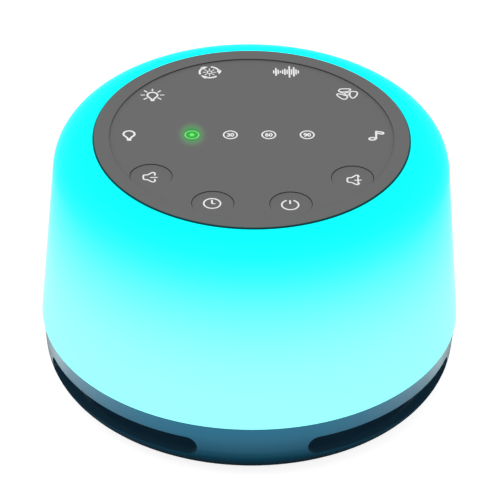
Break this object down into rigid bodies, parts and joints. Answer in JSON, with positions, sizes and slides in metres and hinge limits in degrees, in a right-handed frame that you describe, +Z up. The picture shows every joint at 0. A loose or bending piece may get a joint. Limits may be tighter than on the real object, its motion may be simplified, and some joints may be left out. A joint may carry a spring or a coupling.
{
  "type": "white noise sound machine",
  "caption": "Round bedside sound machine: glowing drum shade, grey control panel with dished keys on top, slotted base with a downward speaker.",
  "frame": {"origin": "centre of the circle that the rubber feet stand on, on the surface under the object", "axes": "+Z up, -Y towards the user (the side of the four keys), +X to the user's right"},
  "size_m": [0.105, 0.105, 0.069],
  "materials": {
    "panel_grey": "fine matte",
    "milky_shade": "milky satin",
    "base_blue_grey": "satin",
    "black_plastic": "satin",
    "white_plastic": "satin",
    "rubber": "matte",
    "zinc_steel": "zinc",
    "ferrite": "sintered",
    "circuit_board": "solder mask",
    "black_foam": "foam",
    "speaker_paper": "pressed paper",
    "copper": "bare",
    "led_body": "clear"
  },
  "bodies": {
    "housing": {"rubber_feet": "rubber", "bottom_cover": "base_blue_grey", "base_housing": "base_blue_grey", "speaker_baffle": "black_plastic", "speaker_gasket": "black_foam", "speaker_basket": "zinc_steel", "speaker_screws": "zinc_steel", "speaker_top_plate": "zinc_steel", "speaker_magnet": "ferrite", "speaker_yoke": "zinc_steel", "speaker_terminal": "black_plastic", "speaker_surround": "rubber", "speaker_spider": "speaker_paper", "power_board": "circuit_board", "power_board_screws": "zinc_steel", "usb_c_shell": "zinc_steel", "usb_c_tongue": "black_plastic", "power_connector": "white_plastic", "chassis": "white_plastic", "led_board": "circuit_board", "ring_leds": "led_body", "led_board_screws": "zinc_steel", "diffuser_shade": "milky_shade", "control_panel": "panel_grey", "control_board": "circuit_board", "switch_housings": "black_plastic", "indicator_leds": "led_body", "symbol_leds": "led_body", "control_chips": "black_plastic", "buffer_capacitor": "black_plastic", "control_connector": "white_plastic", "speaker_connector": "white_plastic", "light_seal": "black_foam", "touch_film": "white_plastic", "touch_pads": "copper", "ribbon_cable": "white_plastic", "speaker_leads": "rubber", "lamp_lead": "rubber", "panel_screws": "zinc_steel", "base_screws": "zinc_steel", "chassis_screws": "zinc_steel"},
    "cone": {"speaker_cone": "speaker_paper", "dust_cap": "speaker_paper", "voice_coil": "copper"},
    "key_volume_down": {"key_volume_down": "panel_grey", "plunger_volume_down": "black_plastic"},
    "key_timer": {"key_timer": "panel_grey", "plunger_timer": "black_plastic"},
    "key_power": {"key_power": "panel_grey", "plunger_power": "black_plastic"},
    "key_volume_up": {"key_volume_up": "panel_grey", "plunger_volume_up": "black_plastic"}
  },
  "joints": [
    {"name": "cone_slide", "type": "slide", "parent": "housing", "child": "cone", "axis": [0, 0, 1], "range_m": [-0.001, 0.001], "stiffness_N_per_m": 2000, "deforming": ["speaker_surround", "speaker_spider"]},
    {"name": "volume_down_press", "type": "slide", "parent": "housing", "child": "key_volume_down", "axis": [0, 0, -1], "range_m": [0, 0.0003], "stiffness_N_per_m": 5000},
    {"name": "timer_press", "type": "slide", "parent": "housing", "child": "key_timer", "axis": [0, 0, -1], "range_m": [0, 0.0003], "stiffness_N_per_m": 5000},
    {"name": "power_press", "type": "slide", "parent": "housing", "child": "key_power", "axis": [0, 0, -1], "range_m": [0, 0.0003], "stiffness_N_per_m": 5000},
    {"name": "volume_up_press", "type": "slide", "parent": "housing", "child": "key_volume_up", "axis": [0, 0, -1], "range_m": [0, 0.0003], "stiffness_N_per_m": 5000}
  ]
}
